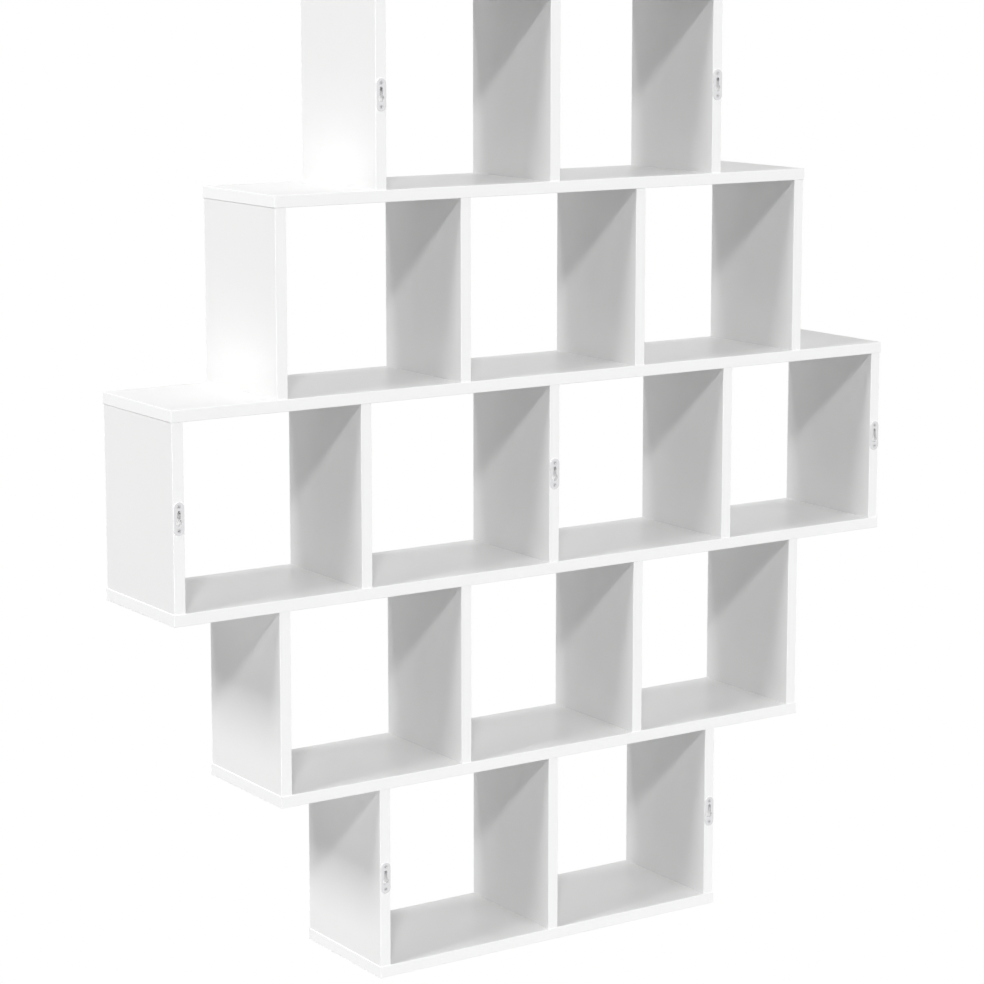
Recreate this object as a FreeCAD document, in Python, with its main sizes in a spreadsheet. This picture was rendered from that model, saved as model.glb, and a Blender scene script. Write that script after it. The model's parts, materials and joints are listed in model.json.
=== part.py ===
import FreeCAD, Part
import math
import os
import Sketcher

# Stepped wall shelf in white-faced board, hung on keyhole plates.
# Six boards run right through, and five rows of uprights stand between them.
# Frame: X to the right seen from the front, Y towards the wall, Z up.
# The origin is the middle of the shelf on the wall plane, so the shelf itself lies at Y below zero.

# Driving dimensions in millimetres
SIZES = {
    # Boards and uprights
    "board_thickness": 15.0,
    "upright_thickness": 15.0,
    "shelf_depth": 180.0,
    "end_overhang": 1.0,
    "front_setback": 1.0,
    # Clear sizes of the cells; rows one and five are alike, and so are rows two and four
    "cell_height": 230.0,
    "first_row_cell_width": 242.5,
    "second_row_middle_cell_width": 255.0,
    "second_row_outer_cell_width": 248.0,
    "third_row_inner_cell_width": 266.0,
    "third_row_outer_cell_width": 244.0,
    # Edge bands
    "band_thickness": 1.0,
    "band_round": 0.8,
    # Keyhole hanger plates, their screws and the pocket milled behind them
    "hanger_width": 14.0,
    "hanger_length": 40.0,
    "hanger_thickness": 1.2,
    "keyhole_entry_diameter": 8.5,
    "keyhole_entry_drop": 4.5,
    "keyhole_slot_width": 4.5,
    "keyhole_slot_rise": 7.5,
    "pocket_width": 9.5,
    "pocket_depth": 4.5,
    "hanger_screw_spacing": 29.0,
    "hanger_screw_diameter": 3.0,
    "hanger_screw_length": 16.0,
    # Dowels in the upper ends of the uprights
    "dowel_diameter": 8.0,
    "dowel_length": 30.0,
    "dowel_depth_in_board": 10.0,
    "dowel_spacing": 96.0,
    "dowel_chamfer": 0.8,
    # Connecting screws into the lower ends of the uprights, and their cover caps
    "connector_length": 50.0,
    "connector_core_diameter": 5.0,
    "connector_shoulder_diameter": 7.0,
    "connector_head_diameter": 10.0,
    "connector_point_length": 4.0,
    "connector_spacing": 116.0,
    "socket_diameter": 4.0,
    "socket_depth": 3.0,
    "cap_diameter": 13.0,
    "cap_thickness": 1.2,
    "cap_chamfer": 0.5,
    "cap_peg_length": 2.5,
    # Fits
    "hole_clearance": 0.1,
    "hole_end_gap": 0.5,
    "shoulder_gap": 1.0,
}

# Positions worked out from the driving dimensions, as expressions
ROW_PITCH = "(Sizes.cell_height + Sizes.board_thickness)"
FIRST_ROW_PLACE = "(Sizes.first_row_cell_width + Sizes.upright_thickness)"
SECOND_ROW_INNER_PLACE = "((Sizes.second_row_middle_cell_width + Sizes.upright_thickness) / 2)"
SECOND_ROW_OUTER_PLACE = (
    f"({SECOND_ROW_INNER_PLACE} + Sizes.second_row_outer_cell_width + Sizes.upright_thickness)"
)
THIRD_ROW_INNER_PLACE = "(Sizes.third_row_inner_cell_width + Sizes.upright_thickness)"
THIRD_ROW_OUTER_PLACE = (
    f"({THIRD_ROW_INNER_PLACE} + Sizes.third_row_outer_cell_width + Sizes.upright_thickness)"
)
HALF_THICKNESS = "(Sizes.upright_thickness / 2)"
# The uprights stand back from the wall by the plate's thickness, so the plates end flush with the boards
UPRIGHT_REAR = "(-Sizes.hanger_thickness)"
UPRIGHT_FRONT = "(Sizes.front_setback - Sizes.shelf_depth)"
MID_DEPTH = "(-Sizes.shelf_depth / 2)"
BAND_ROUND = "min(Sizes.band_round; 0.9 * Sizes.band_thickness)"
# A right-angled countersink that is as deep as the plate is thick
HANGER_HEAD_DIAMETER = "(Sizes.hanger_screw_diameter + 2 * Sizes.hanger_thickness)"
CONNECTOR_HEAD_HEIGHT = "((Sizes.connector_head_diameter - Sizes.connector_shoulder_diameter) / 2)"
COUNTERSINK_ANGLE = 90

BOARD_NAMES = [
    "top_board",
    "upper_board",
    "upper_middle_board",
    "lower_middle_board",
    "lower_board",
    "bottom_board",
]
ROWS = range(1, len(BOARD_NAMES))
MIDDLE_ROW = len(BOARD_NAMES) // 2
HANGER_UPRIGHTS = {
    1: ("left", "right"),
    3: ("outer_left", "centre", "outer_right"),
    5: ("left", "right"),
}
# Turns of copies in degrees: end for end, and head towards the wall
TURNED = 180
HEAD_TO_WALL = -90

doc = FreeCAD.newDocument("wall_shelf")
sheet = doc.addObject("Spreadsheet::Sheet", "Sizes")
for row_number, (size_name, size_value) in enumerate(SIZES.items(), 1):
    sheet.set(f"A{row_number}", size_name)
    sheet.set(f"B{row_number}", str(size_value))
    sheet.setAlias(f"B{row_number}", size_name)
doc.recompute()
nodes = []


def value(expression):
    """The number that an expression on the sheet gives."""
    return float(sheet.evalExpression(expression))


def mirrored_places(inner_and_outer):
    """Places on both sides of the middle, from named places on the right."""
    left = [(f"{name}left", f"-{place}") for name, place in reversed(inner_and_outer)]
    right = [(f"{name}right", place) for name, place in inner_and_outer]
    return left, right


def uprights_in(row):
    """Name and X place of each upright in a row, from left to right."""
    if row == MIDDLE_ROW:
        left, right = mirrored_places(
            [("inner_", THIRD_ROW_INNER_PLACE), ("outer_", THIRD_ROW_OUTER_PLACE)]
        )
    elif abs(row - MIDDLE_ROW) == 1:
        left, right = mirrored_places(
            [("inner_", SECOND_ROW_INNER_PLACE), ("outer_", SECOND_ROW_OUTER_PLACE)]
        )
        return left + right
    else:
        left, right = mirrored_places([("", FIRST_ROW_PLACE)])
    return left + [("centre", "0")] + right


def row_base(row):
    """Height of the lower ends of a row's uprights."""
    return f"({MIDDLE_ROW - row}) * {ROW_PITCH} - Sizes.cell_height / 2"


def board_base(index):
    """Height of a board's underside; board 0 is the top one and board N carries row N."""
    middle = (len(BOARD_NAMES) - 1) / 2
    return f"({middle - index}) * {ROW_PITCH} - Sizes.board_thickness / 2"


def board_length(index):
    """A board covers the wider of the rows above and below it, with a small overhang."""
    rows = [row for row in (index, index + 1) if row in ROWS]
    outer_place = max((uprights_in(row)[-1][1] for row in rows), key=value)
    return f"(2 * {outer_place} + Sizes.upright_thickness + 2 * Sizes.end_overhang)"


def new_body(name):
    body = doc.addObject("PartDesign::Body", name)
    body.Label = name
    return body


def place(obj, x="0", y="0", z="0"):
    """Binds an object's position to the sheet."""
    for axis, expression in (("x", x), ("y", y), ("z", z)):
        obj.setExpression(f"Placement.Base.{axis}", expression)


def keep(obj):
    """Marks an object as a sub-part with a file of its own."""
    nodes.append(obj)
    return obj


def new_sketch(body, name, role, offset="0"):
    """A sketch on one of the body's own origin planes, moved along the plane's normal."""
    sketch = body.newObject("Sketcher::SketchObject", f"{body.Name}_{name}")
    plane = next(item for item in body.Origin.OriginFeatures if item.Role == role)
    sketch.AttachmentSupport = (plane, [""])
    sketch.MapMode = "FlatFace"
    sketch.setExpression("AttachmentOffset.Base.z", offset)
    return sketch


def bind(sketch, constraint, expression):
    index = sketch.addConstraint(constraint)
    sketch.setExpression(f"Constraints[{index}]", expression)


def bind_point(sketch, geometry, point, x, y):
    """Ties a point of a sketch to the origin by two expressions."""
    bind(sketch, Sketcher.Constraint("DistanceX", -1, 1, geometry, point, value(x)), x)
    bind(sketch, Sketcher.Constraint("DistanceY", -1, 1, geometry, point, value(y)), y)


def outline(sketch, corners):
    """A closed outline of straight lines through corners given as pairs of expressions."""
    points = [FreeCAD.Vector(value(x), value(y), 0) for x, y in corners]
    lines = [
        sketch.addGeometry(Part.LineSegment(start, end), False)
        for start, end in zip(points, points[1:] + points[:1])
    ]
    for line, following in zip(lines, lines[1:] + lines[:1]):
        sketch.addConstraint(Sketcher.Constraint("Coincident", line, 2, following, 1))
    for line, (x, y) in zip(lines, corners):
        bind_point(sketch, line, 1, x, y)


def rectangle(sketch, left, right, low, high):
    outline(sketch, [(left, low), (right, low), (right, high), (left, high)])


def circles(sketch, centres, diameter):
    """Equal circles, each tied to the origin."""
    radius = value(diameter) / 2
    up = FreeCAD.Vector(0, 0, 1)
    for x, y in centres:
        circle = Part.Circle(FreeCAD.Vector(value(x), value(y), 0), up, radius)
        index = sketch.addGeometry(circle, False)
        bind(sketch, Sketcher.Constraint("Diameter", index, 2 * radius), diameter)
        bind_point(sketch, index, 3, x, y)


def round_ended_slot(sketch, low, high, width):
    """An upright slot on the sketch's vertical axis, from one arc centre to the other."""
    radius = value(width) / 2
    up = FreeCAD.Vector(0, 0, 1)
    arcs = []
    for height, start in ((high, 0.0), (low, math.pi)):
        circle = Part.Circle(FreeCAD.Vector(0, value(height), 0), up, radius)
        arcs.append(sketch.addGeometry(Part.ArcOfCircle(circle, start, start + math.pi), False))
    top, bottom = arcs
    sides = []
    for x, start, end in ((-radius, high, low), (radius, low, high)):
        ends = [FreeCAD.Vector(x, value(height), 0) for height in (start, end)]
        sides.append(sketch.addGeometry(Part.LineSegment(*ends), False))
    left, right = sides
    for first, second in ((top, left), (left, bottom), (bottom, right), (right, top)):
        sketch.addConstraint(Sketcher.Constraint("Tangent", first, 2, second, 1))
    bind(sketch, Sketcher.Constraint("Radius", top, radius), f"{width} / 2")
    sketch.addConstraint(Sketcher.Constraint("Equal", top, bottom))
    bind_point(sketch, top, 3, "0", high)
    bind_point(sketch, bottom, 3, "0", low)


def pad(body, name, sketch, length):
    feature = body.newObject("PartDesign::Pad", f"{body.Name}_{name}")
    feature.Profile = sketch
    feature.setExpression("Length", length)
    return feature


def pocket(body, name, sketch, depth, along_normal=False):
    feature = body.newObject("PartDesign::Pocket", f"{body.Name}_{name}")
    feature.Profile = sketch
    feature.Reversed = along_normal
    feature.setExpression("Length", depth)
    return feature


def countersunk_holes(body, name, sketch, diameter, head_diameter):
    """Through holes along the sketch's normal, countersunk on the sketch's side."""
    doc.recompute()
    feature = body.newObject("PartDesign::Hole", f"{body.Name}_{name}")
    feature.Profile = sketch
    doc.recompute()
    feature.ThreadType = "None"
    feature.DepthType = "ThroughAll"
    feature.HoleCutType = "Countersink"
    feature.HoleCutCustomValues = True
    feature.HoleCutCountersinkAngle = COUNTERSINK_ANGLE
    feature.setExpression("Diameter", diameter)
    feature.setExpression("HoleCutDiameter", head_diameter)
    feature.Reversed = True
    return feature


def turned_solid(body, corners):
    """A solid of revolution about Z, from its half section in X and Z."""
    section = new_sketch(body, "section", "XZ_Plane")
    outline(section, corners)
    feature = body.newObject("PartDesign::Revolution", f"{body.Name}_turned")
    feature.Profile = section
    feature.ReferenceAxis = (section, ["V_Axis"])
    feature.Angle = 360
    return feature


def round_edges(body, base, chosen, radius):
    """Rounds the edges of a feature whose middle passes the given test."""
    doc.recompute()
    names = [
        f"Edge{number}"
        for number, edge in enumerate(base.Shape.Edges, 1)
        if chosen(edge.BoundBox.Center, edge)
    ]
    feature = body.newObject("PartDesign::Fillet", f"{body.Name}_rounding")
    feature.Base = (base, names)
    feature.setExpression("Radius", radius)
    return feature


def in_rows_of_two(places, spacing):
    """Two points at each place, evenly about the middle of the shelf's depth."""
    half = f"{spacing} / 2"
    return [(x, f"{MID_DEPTH} {sign} {half}") for x in places for sign in "-+"]


# Boards


def make_board(index):
    """A board core: dowel holes below for the row beneath, countersunk holes for the row it carries."""
    body = new_body(BOARD_NAMES[index])
    half_core = f"({board_length(index)} / 2 - Sizes.band_thickness)"
    plan = new_sketch(body, "plan", "XY_Plane")
    rectangle(
        plan,
        f"-{half_core}",
        half_core,
        "Sizes.band_thickness - Sizes.shelf_depth",
        "-Sizes.band_thickness",
    )
    pad(body, "panel", plan, "Sizes.board_thickness")
    if index + 1 in ROWS:
        places = [x for _, x in uprights_in(index + 1)]
        dowel_holes = new_sketch(body, "dowel_holes", "XY_Plane")
        circles(
            dowel_holes,
            in_rows_of_two(places, "Sizes.dowel_spacing"),
            "Sizes.dowel_diameter + Sizes.hole_clearance",
        )
        depth = "Sizes.dowel_depth_in_board + Sizes.hole_end_gap"
        pocket(body, "dowel_drilling", dowel_holes, depth, along_normal=True)
    if index in ROWS:
        places = [x for _, x in uprights_in(index)]
        screw_holes = new_sketch(body, "screw_holes", "XY_Plane")
        shoulder_hole = "Sizes.connector_shoulder_diameter + Sizes.hole_clearance"
        circles(screw_holes, in_rows_of_two(places, "Sizes.connector_spacing"), shoulder_hole)
        countersunk_holes(
            body,
            "screw_drilling",
            screw_holes,
            shoulder_hole,
            "Sizes.connector_head_diameter + Sizes.hole_clearance",
        )
    place(body, z=board_base(index))
    return keep(body)


# Uprights


def cut_hanger_pocket(body):
    """The pocket behind a keyhole, for the wall screw's head, and the holes for the plate's screws."""
    seat = "Sizes.hanger_thickness"
    middle = "Sizes.cell_height / 2"
    milled = new_sketch(body, "pocket_outline", "XZ_Plane", seat)
    round_ended_slot(
        milled,
        f"{middle} - Sizes.keyhole_entry_drop",
        f"{middle} + Sizes.keyhole_slot_rise",
        "Sizes.pocket_width",
    )
    pocket(body, "milled_pocket", milled, "Sizes.pocket_depth", along_normal=True)
    pilots = new_sketch(body, "hanger_screw_holes", "XZ_Plane", seat)
    centres = [("0", f"{middle} {sign} Sizes.hanger_screw_spacing / 2") for sign in "-+"]
    circles(pilots, centres, "Sizes.hanger_screw_diameter + Sizes.hole_clearance")
    pilot_depth = "Sizes.hanger_screw_length - Sizes.hanger_thickness + Sizes.hole_end_gap"
    pocket(body, "hanger_screw_drilling", pilots, pilot_depth, along_normal=True)


def make_upright(name, x, base, has_hanger):
    """An upright core: dowel holes in its upper end, pilot holes for connecting screws in its lower end."""
    body = new_body(name)
    plan = new_sketch(body, "plan", "XY_Plane")
    rectangle(
        plan,
        f"-{HALF_THICKNESS}",
        HALF_THICKNESS,
        f"{UPRIGHT_FRONT} + Sizes.band_thickness",
        f"{UPRIGHT_REAR} - Sizes.band_thickness",
    )
    pad(body, "panel", plan, "Sizes.cell_height")
    dowel_holes = new_sketch(body, "dowel_holes", "XY_Plane", "Sizes.cell_height")
    circles(
        dowel_holes,
        in_rows_of_two(["0"], "Sizes.dowel_spacing"),
        "Sizes.dowel_diameter + Sizes.hole_clearance",
    )
    dowel_depth = "Sizes.dowel_length - Sizes.dowel_depth_in_board + Sizes.hole_end_gap"
    pocket(body, "dowel_drilling", dowel_holes, dowel_depth)
    pilots = new_sketch(body, "screw_holes", "XY_Plane")
    circles(
        pilots,
        in_rows_of_two(["0"], "Sizes.connector_spacing"),
        "Sizes.connector_core_diameter + Sizes.hole_clearance",
    )
    pilot_depth = "Sizes.connector_length - Sizes.board_thickness + Sizes.hole_end_gap"
    pocket(body, "screw_drilling", pilots, pilot_depth, along_normal=True)
    if has_hanger:
        cut_hanger_pocket(body)
    place(body, x=x, z=base)
    return keep(body)


# Keyhole hanger plates


def make_hanger_plate(name, x, row):
    """A stamped plate with round ends, a keyhole and two countersunk screw holes, flush with Y 0."""
    body = new_body(name)
    half_straight = "((Sizes.hanger_length - Sizes.hanger_width) / 2)"
    blank = new_sketch(body, "blank", "XZ_Plane")
    round_ended_slot(blank, f"-{half_straight}", half_straight, "Sizes.hanger_width")
    pad(body, "plate", blank, "Sizes.hanger_thickness")
    entry = new_sketch(body, "keyhole_entry", "XZ_Plane")
    circles(entry, [("0", "-Sizes.keyhole_entry_drop")], "Sizes.keyhole_entry_diameter")
    pocket(body, "entry_stamping", entry, "Sizes.hanger_thickness", along_normal=True)
    slot = new_sketch(body, "keyhole_slot", "XZ_Plane")
    round_ended_slot(
        slot, "-Sizes.keyhole_entry_drop", "Sizes.keyhole_slot_rise", "Sizes.keyhole_slot_width"
    )
    pocket(body, "slot_stamping", slot, "Sizes.hanger_thickness", along_normal=True)
    screw_holes = new_sketch(body, "screw_holes", "XZ_Plane")
    centres = [("0", f"{sign} Sizes.hanger_screw_spacing / 2") for sign in "-+"]
    through = "Sizes.hanger_screw_diameter + Sizes.hole_clearance"
    circles(screw_holes, centres, through)
    countersunk_holes(
        body, "screw_sinking", screw_holes, through, f"{HANGER_HEAD_DIAMETER} + Sizes.hole_clearance"
    )
    place(body, x=x, z=f"({MIDDLE_ROW - row}) * {ROW_PITCH}")
    return keep(body)


# Fasteners: one pattern piece each, placed many times


def make_hanger_screw():
    """A countersunk wood screw, head uppermost at Z 0."""
    body = new_body("hanger_screw_pattern")
    shank = "Sizes.hanger_screw_diameter / 2"
    point = "Sizes.hanger_screw_diameter - Sizes.hanger_screw_length"
    turned_solid(
        body,
        [
            ("0", "0"),
            (f"{HANGER_HEAD_DIAMETER} / 2", "0"),
            (shank, "-Sizes.hanger_thickness"),
            (shank, point),
            ("0", "-Sizes.hanger_screw_length"),
        ],
    )
    return body


def make_connector():
    """A connecting screw, head lowest at Z 0, with a socket for the key and the cap's peg."""
    body = new_body("connector_pattern")
    socket = "Sizes.socket_diameter / 2"
    shoulder = "Sizes.connector_shoulder_diameter / 2"
    core = "Sizes.connector_core_diameter / 2"
    shoulder_top = "Sizes.board_thickness - Sizes.shoulder_gap"
    turned_solid(
        body,
        [
            ("0", "Sizes.socket_depth"),
            (socket, "Sizes.socket_depth"),
            (socket, "0"),
            ("Sizes.connector_head_diameter / 2", "0"),
            (shoulder, CONNECTOR_HEAD_HEIGHT),
            (shoulder, shoulder_top),
            (core, shoulder_top),
            (core, "Sizes.connector_length - Sizes.connector_point_length"),
            ("0", "Sizes.connector_length"),
        ],
    )
    return body


def make_screw_cap():
    """A flat push-in cap under a connecting screw's head, chamfered below, with a peg in its socket."""
    body = new_body("screw_cap_pattern")
    rim = "Sizes.cap_diameter / 2"
    chamfer = "min(Sizes.cap_chamfer; 0.9 * Sizes.cap_thickness)"
    peg = "(Sizes.socket_diameter - Sizes.hole_clearance) / 2"
    turned_solid(
        body,
        [
            ("0", "-Sizes.cap_thickness"),
            (f"{rim} - {chamfer}", "-Sizes.cap_thickness"),
            (rim, f"{chamfer} - Sizes.cap_thickness"),
            (rim, "0"),
            (peg, "0"),
            (peg, "Sizes.cap_peg_length"),
            ("0", "Sizes.cap_peg_length"),
        ],
    )
    return body


def make_dowel():
    """A wooden dowel with chamfered ends, its upper end at Z 0."""
    body = new_body("dowel_pattern")
    full = "Sizes.dowel_diameter / 2"
    narrow = f"({full} - Sizes.dowel_chamfer)"
    turned_solid(
        body,
        [
            ("0", "0"),
            (narrow, "0"),
            (full, "-Sizes.dowel_chamfer"),
            (full, "Sizes.dowel_chamfer - Sizes.dowel_length"),
            (narrow, "-Sizes.dowel_length"),
            ("0", "-Sizes.dowel_length"),
        ],
    )
    return body


# Edge bands: one pattern strip for each length, placed on every edge that shows


def make_long_band(name, length, width):
    """A band for a rear edge, rounded all round its outer face at Y 0; it stands on Z 0."""
    body = new_body(name)
    plan = new_sketch(body, "plan", "XY_Plane")
    half = f"({length} / 2)"
    rectangle(plan, f"-{half}", half, "-Sizes.band_thickness", "0")
    strip = pad(body, "strip", plan, width)
    edge_place = -value("Sizes.band_thickness") / 2
    round_edges(body, strip, lambda middle, edge: middle.y > edge_place / 2, BAND_ROUND)
    return body


def make_end_band():
    """A band for a right-hand board end, between the long bands; its outer face is at X 0."""
    body = new_body("end_band_pattern")
    plan = new_sketch(body, "plan", "XY_Plane")
    front = "Sizes.band_thickness - Sizes.shelf_depth"
    rectangle(plan, "-Sizes.band_thickness", "0", front, "-Sizes.band_thickness")
    strip = pad(body, "strip", plan, "Sizes.board_thickness")
    edge_place = -value("Sizes.band_thickness") / 2

    def is_outer_arris(middle, edge):
        return middle.x > edge_place / 2 and edge.BoundBox.YLength > edge.BoundBox.ZLength

    round_edges(body, strip, is_outer_arris, BAND_ROUND)
    return body


def make_upright_band(name, has_hanger):
    """A band for an upright's rear edge, rounded along its two long outer edges."""
    body = new_body(name)
    plan = new_sketch(body, "plan", "XY_Plane")
    inner = f"{UPRIGHT_REAR} - Sizes.band_thickness"
    rectangle(plan, f"-{HALF_THICKNESS}", HALF_THICKNESS, inner, UPRIGHT_REAR)
    strip = pad(body, "strip", plan, "Sizes.cell_height")
    edge_place = value(UPRIGHT_REAR) - value("Sizes.band_thickness") / 2

    def is_outer_arris(middle, edge):
        return middle.y > edge_place and edge.BoundBox.ZLength > edge.BoundBox.XLength

    round_edges(body, strip, is_outer_arris, BAND_ROUND)
    if has_hanger:
        cut_hanger_pocket(body)
    return body


def copy_of(pattern, name, x="0", y="0", z="0", axis=FreeCAD.Vector(0, 0, 1), angle=0):
    """A placed copy of a pattern piece, turned about an axis and tied to the sheet."""
    link = doc.addObject("App::Link", name)
    link.LinkedObject = pattern
    link.LinkTransform = False
    link.Placement = FreeCAD.Placement(FreeCAD.Vector(), FreeCAD.Rotation(axis, angle))
    place(link, x, y, z)
    return link


def group(name, copies):
    """Pieces of one kind that share a node, each a separate solid."""
    compound = doc.addObject("Part::Compound", name)
    compound.Label = name
    compound.Links = copies
    return keep(compound)


# The assembly, from the top board down

hanger_screw = make_hanger_screw()
connector = make_connector()
screw_cap = make_screw_cap()
dowel = make_dowel()
end_band = make_end_band()
plain_band = make_upright_band("plain_upright_band_pattern", has_hanger=False)
hanger_band = make_upright_band("hanger_upright_band_pattern", has_hanger=True)
hanger_screw_copies = []

for index, board_name in enumerate(BOARD_NAMES):
    make_board(index)
    base = board_base(index)
    half_length = f"{board_length(index)} / 2"
    front = "-Sizes.shelf_depth"
    long_band = make_long_band(
        f"{board_name}_long_band_pattern", board_length(index), "Sizes.board_thickness"
    )
    group(
        f"{board_name}_edge_bands",
        [
            copy_of(long_band, f"{board_name}_rear_band", z=base),
            copy_of(long_band, f"{board_name}_front_band", y=front, z=base, angle=TURNED),
            copy_of(end_band, f"{board_name}_right_band", x=half_length, z=base),
            copy_of(end_band, f"{board_name}_left_band", f"-{half_length}", front, base, angle=TURNED),
        ],
    )

for row in ROWS:
    foot = row_base(row)
    head = f"{foot} + Sizes.cell_height"
    bands = []
    for position, x in uprights_in(row):
        has_hanger = position in HANGER_UPRIGHTS.get(row, ())
        name = f"row_{row}_upright_{position}"
        make_upright(name, x, foot, has_hanger)
        rear_band = hanger_band if has_hanger else plain_band
        front_shift = f"{UPRIGHT_REAR} + {UPRIGHT_FRONT}"
        bands.append(copy_of(rear_band, f"{name}_rear_band", x=x, z=foot))
        bands.append(copy_of(plain_band, f"{name}_front_band", x, front_shift, foot, angle=TURNED))
        if has_hanger:
            make_hanger_plate(f"row_{row}_hanger_{position}", x, row)
            for sign in "-+":
                height = f"({MIDDLE_ROW - row}) * {ROW_PITCH} {sign} Sizes.hanger_screw_spacing / 2"
                hanger_screw_copies.append(
                    copy_of(
                        hanger_screw,
                        f"{name}_hanger_screw_{'lower' if sign == '-' else 'upper'}",
                        x=x,
                        z=height,
                        axis=FreeCAD.Vector(1, 0, 0),
                        angle=HEAD_TO_WALL,
                    )
                )
    group(f"row_{row}_upright_edge_bands", bands)
    places = [x for _, x in uprights_in(row)]
    dowel_top = f"{head} + Sizes.dowel_depth_in_board"
    group(
        f"row_{row}_dowels",
        [
            copy_of(dowel, f"row_{row}_dowel_{number}", x, y, dowel_top)
            for number, (x, y) in enumerate(in_rows_of_two(places, "Sizes.dowel_spacing"), 1)
        ],
    )
    underside = board_base(row)
    screw_points = in_rows_of_two(places, "Sizes.connector_spacing")
    for kind, pattern in (("connecting_screw", connector), ("screw_cap", screw_cap)):
        group(
            f"{BOARD_NAMES[row]}_{kind}s",
            [
                copy_of(pattern, f"{BOARD_NAMES[row]}_{kind}_{number}", x, y, underside)
                for number, (x, y) in enumerate(screw_points, 1)
            ],
        )
group("hanger_screws", hanger_screw_copies)
doc.recompute()

# Every object and every sub-part is sound before anything is written

for obj in doc.Objects:
    faults = {"Invalid", "Error"} & set(obj.State)
    if faults:
        raise RuntimeError(f"{obj.Label} is {sorted(faults)}")
    if obj.TypeId in ("PartDesign::Pocket", "PartDesign::Hole"):
        if obj.Shape.Volume >= obj.BaseFeature.Shape.Volume:
            raise RuntimeError(f"{obj.Label} cuts nothing")
for node in nodes:
    if node.Shape.isNull() or not node.Shape.isValid():
        raise RuntimeError(f"{node.Label} has no sound shape")

os.makedirs("parts", exist_ok=True)
for node in nodes:
    node.Shape.exportStep(f"parts/{node.Label}.step")
    print(f"{node.Label}: {len(node.Shape.Solids)} solids, {node.Shape.Volume / 1000:.2f} cm3")
print(f"{len(nodes)} nodes")
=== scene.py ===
# %% [markdown]
# # A stepped wall shelf, seen from its wall side
# The shelf is six white boards with nineteen short uprights between them, hung on seven keyhole plates.
# Its CAD model is already packed as a frame. This lesson gives the frame its finishes, swaps the plain
# fasteners for detailed ones, and lights and photographs the whole.

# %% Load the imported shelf
import json
import math

import bmesh
import bpy
import numpy as np
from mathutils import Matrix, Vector


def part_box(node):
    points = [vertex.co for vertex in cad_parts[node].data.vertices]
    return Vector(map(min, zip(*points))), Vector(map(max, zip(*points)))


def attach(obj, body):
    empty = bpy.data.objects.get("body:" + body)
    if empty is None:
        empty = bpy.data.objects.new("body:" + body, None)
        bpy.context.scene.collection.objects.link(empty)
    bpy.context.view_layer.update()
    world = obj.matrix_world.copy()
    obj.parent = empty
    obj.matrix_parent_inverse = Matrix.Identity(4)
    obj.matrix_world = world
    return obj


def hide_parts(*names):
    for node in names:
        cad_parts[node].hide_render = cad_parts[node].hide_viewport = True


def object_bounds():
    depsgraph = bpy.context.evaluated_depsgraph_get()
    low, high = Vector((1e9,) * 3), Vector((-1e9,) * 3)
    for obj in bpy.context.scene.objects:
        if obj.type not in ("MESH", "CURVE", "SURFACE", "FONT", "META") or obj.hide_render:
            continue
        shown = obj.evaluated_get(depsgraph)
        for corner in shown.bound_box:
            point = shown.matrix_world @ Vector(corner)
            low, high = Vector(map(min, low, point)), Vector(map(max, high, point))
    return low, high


MM = 0.001
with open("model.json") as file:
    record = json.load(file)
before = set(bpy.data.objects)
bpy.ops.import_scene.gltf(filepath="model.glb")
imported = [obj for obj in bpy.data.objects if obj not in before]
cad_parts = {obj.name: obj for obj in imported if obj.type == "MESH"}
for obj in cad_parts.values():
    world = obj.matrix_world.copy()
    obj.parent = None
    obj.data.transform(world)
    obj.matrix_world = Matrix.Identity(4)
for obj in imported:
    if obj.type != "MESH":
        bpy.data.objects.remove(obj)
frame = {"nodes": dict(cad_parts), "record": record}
cad_low, cad_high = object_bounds()
nodes = frame["nodes"]
print(f"{len(nodes)} CAD nodes in a box of {[round(v / MM, 1) for v in cad_high - cad_low]} mm")

# %% [markdown]
# ## The camera
# The picture looks at the wall side from the left and a little above, through a long lens, so the rows
# hardly shrink with distance. The upright lines stay nearly parallel, as with a lens that is shifted down
# instead of tilted. A full shift would push the shelf out of the picture when the camera is walked round
# it, so a part of the shift is kept and the rest is a tilt.

# %% Place the camera
CAMERA_PLACE = (2.0746, 2.9550, 0.6491)
CAMERA_YAW = math.radians(33.791)
CAMERA_TILT = math.radians(8.586)
CAMERA_LENS = 104.76
CAMERA_SENSOR = 36.0
CAMERA_SHIFT = -0.10

camera_data = bpy.data.cameras.new("camera")
camera_data.sensor_width = CAMERA_SENSOR
camera_data.lens = CAMERA_LENS
camera_data.shift_y = CAMERA_SHIFT
camera = bpy.data.objects.new("camera", camera_data)
camera.location = CAMERA_PLACE
camera.rotation_euler = (math.pi / 2 - CAMERA_TILT, 0.0, math.pi - CAMERA_YAW)
bpy.context.scene.collection.objects.link(camera)
bpy.context.scene.camera = camera
bpy.context.scene.view_settings.view_transform = "Standard"
print(f"camera {Vector(CAMERA_PLACE).length:.2f} m from the middle of the shelf")

# %% [markdown]
# ## Places read from the frame
# The uprights' places could be typed in again, but then they would fall behind when a size changes. So
# they are read from the boxes of the CAD nodes, and with them the place of every dowel, screw and cap.

# %% Read the rows
ROW_NUMBERS = range(1, 6)


def middle(node):
    """Half of the lowest corner plus the highest one."""
    low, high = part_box(node)
    return (low + high) / 2


uprights = {
    row: [n for n in nodes if n.startswith(f"row_{row}_upright_") and not n.endswith("_bands")]
    for row in ROW_NUMBERS
}
row_places = {row: np.array(sorted(middle(n).x for n in names)) for row, names in uprights.items()}
hangers = sorted(n for n in nodes if "_hanger_" in n)
for row, places in row_places.items():
    print(f"row {row}: uprights at {[round(x / MM, 1) for x in places]} mm")
print(f"{len(hangers)} hanger plates")

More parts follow.
